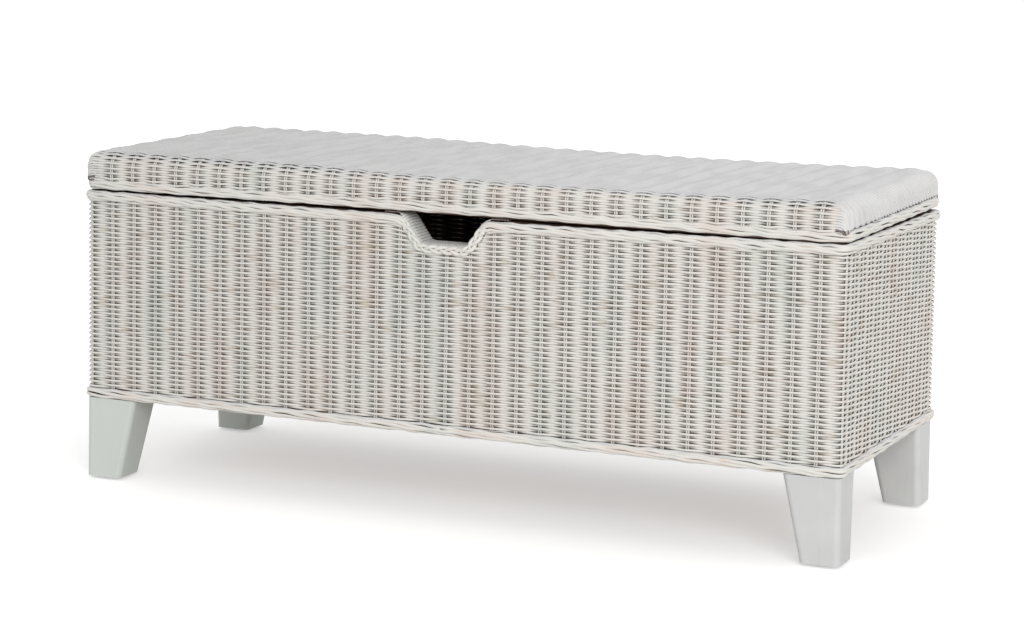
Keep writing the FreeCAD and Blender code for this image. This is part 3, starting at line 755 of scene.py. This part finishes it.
# %% Braids
bottom_low, bottom_high = np.array(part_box("bottom_braid"))
cover_low, cover_high = np.array(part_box("lid_braid"))
BRAID_HEIGHT = bottom_high[2] - bottom_low[2]
BRAID_DEPTH = WALL_THICKNESS + (wall_low[1] - rim_low[1])
STRAND_THICK = 0.0021
STRAND_WIDE = 0.0024
BRAID_STRANDS = 7
BRAID_LAY_PAIRS = 14
POINTS_PER_PITCH = 14
TWIST_RIPPLE = 0.12
TWIST_WANDER = 0.14
TWIST_WANDER_LENGTH = 0.31
STRAND_SWELL = 0.0004
STRAND_SINK = 0.0002
STAKE_RIPPLE = 0.0003
PLAIT_LAY = 0.044
PLAIT_SPREAD = 0.0002
PLAIT_TIGHT_SHARE = 0.76
PLAIT_LAYER = 0.004
PLAIT_MIDDLE_SHARE = 0.50
PLAIT_SWING_SHARE = 0.46
PLAIT_START = 0.003
PLAIT_BLEND = 0.006
core_high = BRAID_HEIGHT / 2 - STRAND_THICK - STAKE_RIPPLE
core_deep = BRAID_DEPTH / 2 - STRAND_THICK - 0.0005
print("braid", round(BRAID_HEIGHT * 1000, 1), "mm high and", round(BRAID_DEPTH * 1000, 1),
      "mm deep")


def plait_line(s, j, centre, out, lift, half_high):
    """Strand j of the plait, and how far it lies on top. Strands 3 to 5 lie under the
    first three, and the last one fills the middle."""
    phase = 2 * np.pi * (s / PLAIT_LAY + (j % 3) / 3)
    layer = j // 3
    across = half_high * np.sin(phase) * (layer < 2)
    over = np.sin(2 * phase)
    outwards = core_deep * (PLAIT_MIDDLE_SHARE + PLAIT_SWING_SHARE * over) - PLAIT_LAYER * layer
    return centre + out * outwards[:, None] + lift * across[:, None], over


def braid_strands(path, turns, seed):
    """The strands of one closed braid. Up is across the path, in the plane of the wall.

    Where the braid dips below its usual height, the twisted strands turn into a plait: a
    point is twisted * (1 - share) + plaited * share, and the share rises smoothly."""
    count = int(round(path.length / stake_pitch)) * POINTS_PER_PITCH
    s = np.arange(count) * path.length / count
    centre, out = path.at(s)
    beat = 2 * np.pi * (s - STAKE_SHIFT) / stake_pitch
    usual = np.median(centre[:, 2])
    dipped = np.clip((usual - PLAIT_START - centre[:, 2]) / PLAIT_BLEND, 0, 1)
    plaited = (dipped * dipped * (3 - 2 * dipped))[:, None]
    lift = unit(np.cross(out, unit(round_steps(centre))))
    plait_high = PLAIT_TIGHT_SHARE * core_high
    plait_centre = centre + lift * (core_high - plait_high + STRAND_WIDE / 3)
    strands = []
    for j in range(BRAID_STRANDS):
        theta = 2 * np.pi * (s / path.length * turns + j / BRAID_STRANDS)
        theta = (theta + TWIST_RIPPLE * np.sin(0.5 * beat + 2.4 * j)
                 + wander(s, TWIST_WANDER, seed + j, TWIST_WANDER_LENGTH))
        swell = STRAND_SWELL * np.cos(0.5 * beat + 1.7 * j) - STRAND_SINK
        radial = unit(out * (np.cos(theta) / core_deep)[:, None]
                      + lift * (np.sin(theta) / core_high)[:, None])
        high = core_high * np.sin(theta) - STAKE_RIPPLE * np.cos(beat)
        line = (centre + out * (core_deep * np.cos(theta))[:, None]
                + lift * high[:, None] + radial * swell[:, None])
        plait, over = plait_line(s, j, plait_centre, out, lift, plait_high)
        tilt = np.sum((plait - plait_centre) * lift, axis=1, keepdims=True) / plait_high
        line = line * (1 - plaited) + plait * plaited
        radial = unit(radial * (1 - plaited) + unit(out + 0.8 * lift * tilt) * plaited)
        # `depth` is lower where a strand turns to the back of the braid or passes under a plait
        # neighbour, which gives it bare cane and painted shade
        depth = np.where(plaited[:, 0] > 0.5, 0.62 + 0.16 * over, 0.45 + 0.2 * np.cos(theta))
        wide = STRAND_WIDE + PLAIT_SPREAD * plaited[:, 0]
        strands.append(make_strand(line, radial, STRAND_THICK, wide, depth, closed=True))
    return strands


# %% [markdown]
# ## How the lid sits
#
# The lid of an old basket doesn't lie flat. Along the front, lid and rim nearly touch at
# both ends and leave the widest gap left of the notch. Two short tables say how far the
# lid's braid drops and the rim rises at a few places. The hinges keep the back as it is.

# %% Settling and the three braids
BRAID_RADIUS = 0.010
LID_BRAID_RADIUS = 0.018
LID_BACK_SHARE = 0.85
BACK_STILL = 0.008
BACK_FADE = 0.03
LID_GAP_PLACES = (-0.56, -0.45, -0.30, -0.10, 0.10, 0.40, 0.56)
LID_DROPS = (0.0022, 0.0004, -0.0006, -0.0008, -0.0006, -0.0002, -0.0008)
RIM_RISES = (0.0012, 0.0000, -0.0006, 0.0002, -0.0004, 0.0004, 0.0042)


def settle(path, shifts):
    """Moves a path up by shifts at LID_GAP_PLACES, and by straight lines in between. The
    move fades to nothing towards the back."""
    x, y = path.points[:, :2].T
    reach = np.clip((wall_high[1] - BACK_STILL - y) / BACK_FADE, 0, 1)
    path.points[:, 2] += reach * np.interp(x, LID_GAP_PLACES, shifts)


braid_inset = BRAID_DEPTH / 2
dip = notch_line(BRAID_HEIGHT / 2)
rim_path = loop_path(rim_low, rim_high, braid_inset, BRAID_RADIUS, dip)
# outside the dip the path is still at height 0. The step between them counted as length,
# so the braid is twisted more tightly along the front
rim_path.points[rim_path.points[:, 2] == 0, 2] = RIM_TOP - BRAID_HEIGHT / 2
settle(rim_path, RIM_RISES)
bottom_path = loop_path(bottom_low, bottom_high, braid_inset, BRAID_RADIUS)
bottom_path.points[:, 2] += bottom_low[2] + BRAID_HEIGHT / 2
cover_path = loop_path(cover_low, cover_high, braid_inset, LID_BRAID_RADIUS,
                       back_share=LID_BACK_SHARE)
cover_path.points[:, 2] += cover_low[2] + BRAID_HEIGHT / 2
settle(cover_path, -np.array(LID_DROPS))
for name, path, body, seed in (("rim_braid", rim_path, "chest", 1),
                               ("bottom_braid", bottom_path, "chest", 31),
                               ("lid_braid", cover_path, "lid", 61)):
    turns = -round(path.length / (BRAID_LAY_PAIRS * stake_pitch))
    piece(name + "_strands", body, braid_strands(path, turns, seed), 8, name)

# %% [markdown]
# ## Lid cover
#
# The cover is one sheet of weave bent over a cushion-like form. A point of the flat sheet
# has coordinates (p, q) from the middle of the lid. Up to px and qy the sheet is level.
# Beyond them let a = |p| - px and b = |q| - qy, and rho = (a^5 + b^5)^(1/5). The sheet
# then bends over an edge of radius R:
#
#     reach = R sin(rho / R),  drop = R (1 - cos(rho / R))   while rho < pi R / 2
#     reach = R,               drop = R + rho - pi R / 2      further on
#
# Use has pressed a shallow hollow into the top, a parabola along the lid.

# %% Lid cover: the bent sheet
lid_low, lid_high = np.array(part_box("lid_weave"))
LID_BEND = 0.019
LID_END_INSET = 0.0025
LID_TUCK = 0.004
lid_inset = half_wall
lid_centre_y = (lid_low[1] + lid_high[1]) / 2
level_x = lid_high[0] - LID_END_INSET - lid_inset - LID_BEND
level_y = (lid_high[1] - lid_low[1]) / 2 - lid_inset - LID_BEND
lid_drop = lid_high[2] - lid_low[2] - lid_inset + LID_TUCK
lid_reach = np.pi * LID_BEND / 2 + lid_drop - LID_BEND
CORNER_POWER = 5
LID_SAG = 0.0045
SAG_MIDDLE = 0.15
SAG_HALF_LENGTH = 0.36


def corner_norm(a, b):
    """The distance past the level part: (a^n + b^n)^(1/n). n = 2 gives round corners in
    plan, and a larger n gives squarer ones."""
    return (a ** CORNER_POWER + b ** CORNER_POWER) ** (1 / CORNER_POWER)


def lid_point(p, q):
    """A point of the bent sheet and its outward direction, from flat coordinates."""
    a = np.maximum(np.abs(p) - level_x, 0)
    b = np.maximum(np.abs(q) - level_y, 0)
    rho = corner_norm(a, b)
    turn = np.minimum(rho / LID_BEND, np.pi / 2)
    reach = LID_BEND * np.sin(turn)
    drop = LID_BEND * (1 - np.cos(turn)) + np.maximum(rho - np.pi * LID_BEND / 2, 0)
    safe = np.where(rho > 0, rho, 1)
    way_x = np.sign(p) * a / safe
    way_y = np.sign(q) * b / safe
    x = np.sign(p) * np.minimum(np.abs(p), level_x) + reach * way_x
    y = lid_centre_y + np.sign(q) * np.minimum(np.abs(q), level_y) + reach * way_y
    u = (x - SAG_MIDDLE) / SAG_HALF_LENGTH
    sag = LID_SAG * np.clip(1 - u ** 2, 0, 1) * np.cos(turn) ** 2
    z = lid_high[2] - lid_inset - drop - sag
    out = columns(way_x * np.sin(turn), way_y * np.sin(turn), np.cos(turn))
    return columns(x, y, z), unit(out)


print("flat sheet: level to", round(level_x, 4), round(level_y, 4), "m, then",
      round(lid_reach, 4), "m over the edge")

# %% [markdown]
# ## Lid weavers
#
# Weavers keep q and run along p, over and under the stakes, and turn down at the two ends.
# No stakes hold them there, so they lie side by side in small bundles. They slant towards
# the back and fan out from the front corner. Above the lid's braid their tails are drawn
# together in sixes, which leaves a row of holes. The left end has a squarer and more
# uneven edge than the right one.

# %% Lid weavers
END_SLANT = 0.9
FAN_REACH = 0.050
END_BLEND = 0.012
TAIL_LENGTH = 0.0072
TAIL_BLEND = 0.002
TAIL_GROUP = 6
TAIL_PULL = 0.0006
LOW_LENGTH = 0.010
LOW_BLEND = 0.003
LOW_DIP = 0.0005
BUNDLE_SIZE = 0.0005
BUNDLE_ROWS = 4
LEFT_SQUARE = 0.0042
LOBE_PITCH = 0.066
LID_WANDER = 0.00018


def lid_weaver(row, q):
    """One weaver at a constant q on the level part.

    At a distance a past it the weaver has swept towards the back by
    END_SLANT * free * a^2 / (a + END_BLEND), with free from 0 at the front corner to 1 at
    FAN_REACH. The left edge stands out by LEFT_SQUARE * lobe * sin(2 turn)^2, where turn is
    the slope of the surface. The lowest rows of the front and back dip at each stake pair."""
    far = level_x + lid_reach
    p = stations(-far, far)
    # 12 stations on the bend and 6 on the tail take the place of the even ones
    fine_end = np.concatenate([np.linspace(level_x + 0.003, far - 0.010, 12),
                               np.linspace(far - 0.008, far, 6)])
    p = np.unique(np.concatenate([p[np.abs(p) < level_x + 0.002], fine_end, -fine_end]))
    past = np.maximum(np.abs(p) - level_x, 0)
    free = np.clip((q + level_y - 0.004) / FAN_REACH, 0, 1)
    swept = q + END_SLANT * free * past ** 2 / (past + END_BLEND)
    rho = corner_norm(past, np.maximum(np.abs(swept) - level_y, 0))
    inside = rho <= lid_reach + 1e-9
    p, past, swept, rho = p[inside], past[inside], swept[inside], rho[inside]
    tail = np.clip((rho - lid_reach + TAIL_LENGTH) / TAIL_BLEND, 0, 1) * (past > END_BLEND)
    pull = TAIL_PULL * ((TAIL_GROUP - 1) / 2 - row % TAIL_GROUP)
    low = np.clip((rho - lid_reach + LOW_LENGTH) / LOW_BLEND, 0, 1) * (past < 0.001)
    beat = 2 * np.pi * (p - STAKE_SHIFT) / stake_pitch
    dip = LOW_DIP * low * np.sign(q) * (1 + np.cos(beat))
    line, out = lid_point(p, swept + pull * tail + dip)
    lobe = 0.7 + 0.3 * np.cos(2 * np.pi * swept / LOBE_PITCH + 1.6)
    square = LEFT_SQUARE * lobe * (p < 0) * (2 * out[:, 0] * out[:, 2]) ** 2
    line = line + out * square[:, None]
    fade = np.clip(1 - past / END_BLEND, 0, 1)
    bundle = BUNDLE_SIZE * np.cos(2 * np.pi * row / BUNDLE_ROWS + 2 * np.sin(row / 9)) * (1 - fade)
    wave = weave_wave(p, row) * fade
    line = line + out * (WEAVE_OUT + WEAVE_SWING * wave + bundle)[:, None]
    line[:, 1] += wander(p, LID_WANDER, 9000 + row) * out[:, 2]
    # `depth` drops in the dips of the lowest rows, in the grooves between bundles and at the
    # tails, so cane_look gives them bare cane and painted shade there
    depth = 0.30 + 0.50 * wave - 0.10 * low * (1 + np.cos(beat))
    depth = depth + (0.16 + 500 * bundle - 0.75 * tail) * (1 - fade)
    squeeze = np.clip(END_SLANT * free * past / (past + END_BLEND), 0, 1)
    wide = lid_pitch * (weaver_share(wave) - 0.05 * (1 - fade) - 0.10 * tail - 0.12 * squeeze)
    if 0 < free < 1:
        wide = wide * (1 + END_SLANT / FAN_REACH * past ** 2 / (past + END_BLEND))
    level = np.clip(np.maximum(out[:, 2], 0.85 * (1 - fade)), 0, 1)
    return make_strand(line, out, WEAVER_THICK, wide, depth, level)


sheet_half = level_y + lid_reach
lid_rows = 2 * round(sheet_half / row_pitch)
lid_pitch = 2 * sheet_half / lid_rows
cover = [lid_weaver(row, -sheet_half + (row + 0.5) * lid_pitch) for row in range(lid_rows)]
piece("lid_weavers_front", "lid", cover[:lid_rows // 2], 6, "lid_weave")
piece("lid_weavers_back", "lid", cover[lid_rows // 2:], 6)

LID_STAKE_POINTS = 90
LAST_LID_PAIR = 15
lid_stakes = []
q = np.linspace(-sheet_half, sheet_half, LID_STAKE_POINTS)
for pair in range(-LAST_LID_PAIR, LAST_LID_PAIR + 1):
    for shift in (-0.5, 0.5):
        p = np.full(len(q), pair * stake_pitch + STAKE_SHIFT + shift * STAKE_SPACING)
        lid_stakes.append(make_strand(*lid_point(p, q), STAKE_RADIUS, STAKE_RADIUS, STAKE_DEPTH))
piece("lid_stakes", "lid", lid_stakes, 6)

# %% [markdown]
# ## Cane wrap in the notch
#
# Flat strips lie side by side over the rail where hands reach through. Each one crosses
# the rail and turns down over both of its edges. Inside the notch the strips also reach
# forward under the plait. Beyond it they are shorter and lie in the shadow of the lid, and
# their low `depth` gives them bare cane and painted shade.

# %% Notch wrap
wrap_look = cane_look("peeled_cane", (228, 228, 226), (223, 217, 213), (216, 221, 217),
                      (150, 124, 110), (120, 72, 52), patches=(60, 60, 60))
STRIP_WIDTH = 0.0041
STRIP_THICK = 0.0011
WRAP_PROUD = wrap_high[2] - RIM_TOP
STRIP_SINK = 0.0012
STRIP_REACH = 0.0075
STRIP_CLEAR = 0.0004
STRIP_POINTS = 13
STRIP_FADE = 0.010
BACK_DROOP = 0.0007
FRONT_DROOP = 0.0034
strip_x, strip_z = notch_line(STRIP_SINK - WRAP_PROUD).T
strip_path = Path(columns(strip_x, 0, strip_z), columns(0 * strip_x, 0, 1), False)
strips = []
strip_count = int(strip_path.length / STRIP_WIDTH)
for k in range(strip_count):
    s = (k + 0.5) * strip_path.length / strip_count
    around = strip_path.at(np.array([s - 0.001, s, s + 0.001]))[0]
    along = unit(around[2] - around[0])
    normal = np.array([-along[2], 0, along[0]])
    t = np.linspace(0, 1, STRIP_POINTS)
    inside = np.clip((NOTCH_TOP / 2 + STRIP_FADE - abs(around[1, 0])) / STRIP_FADE, 0, 1)
    y = (wrap_low[1] - STRIP_REACH * inside) * (1 - t) + (wrap_high[1] - STRIP_CLEAR) * t
    droop = BACK_DROOP * np.clip((t - 0.9) / 0.1, 0, 1) ** 2
    droop = droop + FRONT_DROOP * np.clip((wrap_low[1] + 0.001 - y) / STRIP_REACH, 0, 1) ** 2
    line = around[1] + np.outer(y, [0, 1, 0]) - normal * droop[:, None]
    line += normal * 0.0002 * rng.uniform(-1, 1)
    # outside the notch the low depth gives bare cane and painted shade under the lid
    strips.append(make_strand(line, np.tile(normal, (STRIP_POINTS, 1)), STRIP_THICK,
                              STRIP_WIDTH * 0.49, 0.10 + 0.75 * inside))
piece("notch_wrap_strips", "chest", strips, 8, "notch_wrap", slot="peeled_cane",
      material=wrap_look)

# %% [markdown]
# ## Screws
#
# Each hinge leaf and each stay plate is held by screws. A head is a low dome with a cross
# slot: at the distance r from its middle it rises by h (1 - (r / R)^2), and less in the slot.

# %% Screws
SCREW_RADIUS = 0.0030
SCREW_RISE = 0.00028
SLOT_HALF_WIDTH = 0.00045
SLOT_LENGTH_SHARE = 0.62
LEAF_THICKNESS = 0.00145
SCREW_RINGS = 7
SCREW_SIDES = 24
SCREW_SPREAD = 0.024
SCREW_INSETS = (0.020, 0.010)
PLATE_SCREW_SPREAD = 0.016
HALF_LEAF = 0.035
PLATE_THICKNESS = 0.002


def add_screws(name, body, places, face, along):
    """Screw heads as one object that rides on a body, at `places` on planes that face
    `face`. `along` is a direction on those planes. Their material comes later."""
    side = np.cross(face, along)
    turn = np.linspace(0, 2 * np.pi, SCREW_SIDES, endpoint=False)
    r, a = np.meshgrid(np.linspace(0.12, 1, SCREW_RINGS), turn, indexing="ij")
    u, v = r * np.cos(a), r * np.sin(a)
    in_slot = np.minimum(np.abs(u), np.abs(v)) * SCREW_RADIUS < SLOT_HALF_WIDTH
    in_slot &= r < SLOT_LENGTH_SHARE
    high = SCREW_RISE * (1 - r ** 2) * np.where(in_slot, 0.25, 1)
    dome = (u[..., None] * along + v[..., None] * side) * SCREW_RADIUS + high[..., None] * face
    dome = dome.reshape(-1, 3)
    points = (np.asarray(places)[:, None] + dome[None]).reshape(-1, 3)
    faces = [np.concatenate([part + len(dome) * k for k in range(len(places))])
             for part in (ring_quads(SCREW_RINGS, SCREW_SIDES), np.arange(SCREW_SIDES)[None, :])]
    heads = new_mesh(name, points, faces)
    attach(heads, body)
    print(name, len(places), "screws")
    return heads


hinge_low, hinge_high = np.array(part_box("hinge_body_leaves"))
hinge_places = [(middle + k * SCREW_SPREAD, hinge_low[1] + SCREW_INSETS[abs(k)])
                for middle in (hinge_low[0] + HALF_LEAF, hinge_high[0] - HALF_LEAF)
                for k in (-1, 0, 1)]
LID_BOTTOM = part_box("lid_rail_back")[0][2]
screws = []
for body, z, face in (("chest", RIM_TOP + LEAF_THICKNESS, (0, 0, 1)),
                      ("lid", LID_BOTTOM - LEAF_THICKNESS, (0, 0, -1))):
    screws.append(add_screws("hinge_screws_" + body, body, [(x, y, z) for x, y in hinge_places],
                             face, (1, 0, 0)))
for body, plates in (("chest", "stay_body_plates"), ("lid", "stay_lid_plates")):
    plate_low, plate_high = np.array(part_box(plates))
    y, z = (plate_low[1] + plate_high[1]) / 2, (plate_low[2] + plate_high[2]) / 2
    for side, letter in ((-1, "left"), (1, "right")):
        x = side * (plate_high[0] - PLATE_THICKNESS)
        places = [(x, y + k * PLATE_SCREW_SPREAD, z) for k in (-1, 1)]
        screws.append(add_screws(f"stay_screws_{body}_{letter}", body, places,
                                 (-side, 0, 0), (0, 1, 0)))

# %% [markdown]
# ## Painted feet, timber, metal and plastic
#
# The remaining nodes keep their CAD shape and get a finish of their own. The streaks of
# timber run along the board, so there is one frame wood for each axis.

# %% Finishes of the CAD nodes
def foot_look():
    """Satin white paint on planed wood: faint upright grain under the paint, and painted shade on
    the feet to the left, away from the lamp side.
    """
    look = Look("painted_foot", roughness=0.42, specular=0.4)
    grain = look.noise(26.0, 4.0, (9, 9, 0.6))
    cloud = look.noise(14.0)
    colour = look.mix(cloud.ramp(0.35, 0.70), (218, 219, 217), (211, 212, 211))
    # painted shade: towards the left, away from the lamp side, the paint is darker and a little
    # greener
    left = 1.0 - look.add("ShaderNodeSeparateXYZ", "X", Vector=look.point).ramp(-0.50, 0.50)
    colour = look.mix(left, colour, (206, 211, 205))
    colour = look.mix(grain.ramp(0.55, 0.75) * 0.35, colour, (200, 199, 190))
    look.bump(grain, 0.0002, 0.35)
    return look.finish(colour, 0.36 + 0.16 * grain)


def wood_look(name, light, dark, along):
    """Bare softwood: long soft streaks along one axis, 0 for x to 2 for z."""
    look = Look(name, roughness=0.6, specular=0.3)
    stretch = [3.0, 3.0, 3.0]
    stretch[along] = 0.2
    grain = look.noise(34.0, 5.0, stretch)
    pores = look.noise(238.0, 2.0, stretch)
    colour = look.mix((grain * 0.8 + pores * 0.2).ramp(0.35, 0.68), light, dark)
    look.bump(grain * 0.6 + pores * 0.4, 0.0003, 0.5)
    return look.finish(colour, 0.52 + 0.2 * grain)


def plain_look(name, low, high, roughness, metallic=0.0):
    """Metal, rubber or plastic: a fine grain between two colours."""
    look = Look(name, roughness=roughness, metallic=metallic)
    grain = look.noise(150.0, 3.0)
    look.bump(grain, 0.0001, 0.5)
    return look.finish(look.mix(grain.ramp(0.3, 0.7), low, high), roughness + 0.12 * (grain - 0.5))


steel = plain_look("steel", (188, 188, 186), (150, 150, 148), 0.32, 1.0)
panel_wood = wood_look("panel_wood", (150, 116, 84), (122, 88, 62), 0)
frame_woods = [wood_look("frame_wood_" + letter, (86, 64, 51), (59, 43, 34), axis)
               for axis, letter in enumerate("xyz")]
finishes = {
    "foot_": foot_look(),
    "foot_bolts": steel,
    "foot_glides": plain_look("glide_plastic", (104, 104, 103), (122, 122, 119), 0.5),
    "hinge_": steel, "stay_": steel,
    "lid_bumpers": plain_look("rubber", (46, 46, 46), (60, 60, 58), 0.7),
    "floor_panel": panel_wood, "lid_deck": panel_wood,
}
for heads in screws:
    heads.data.materials.append(steel)
print("materials:", [m.name for m in bpy.data.materials])

# %% [markdown]
# ## Last steps
#
# Each CAD node that is still shown gets its finish by its name: the longest key that the
# name starts with wins. The others are frame wood, along their longest side. Then the boxes
# of the CAD and of the visual model show whether the weave stays within the true size.

# %% Name the finishes
for name, node in nodes.items():
    if node.hide_render:
        continue
    best = max((key for key in finishes if name.startswith(key)), key=len, default=None)
    finish = finishes[best] if best else frame_woods[int(np.argmax(node.dimensions))]
    node.data.materials.clear()
    node.data.materials.append(finish)
    print(name, "->", finish.name)

# %% Print the sizes and finish
bpy.context.scene.view_settings.view_transform = "Standard"
boxes = {"cad": [list(v) for v in cad_bounds], "visual": [list(v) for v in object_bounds()]}
for name, box in boxes.items():
    print(name, "box", [[round(c, 4) for c in v] for v in box])
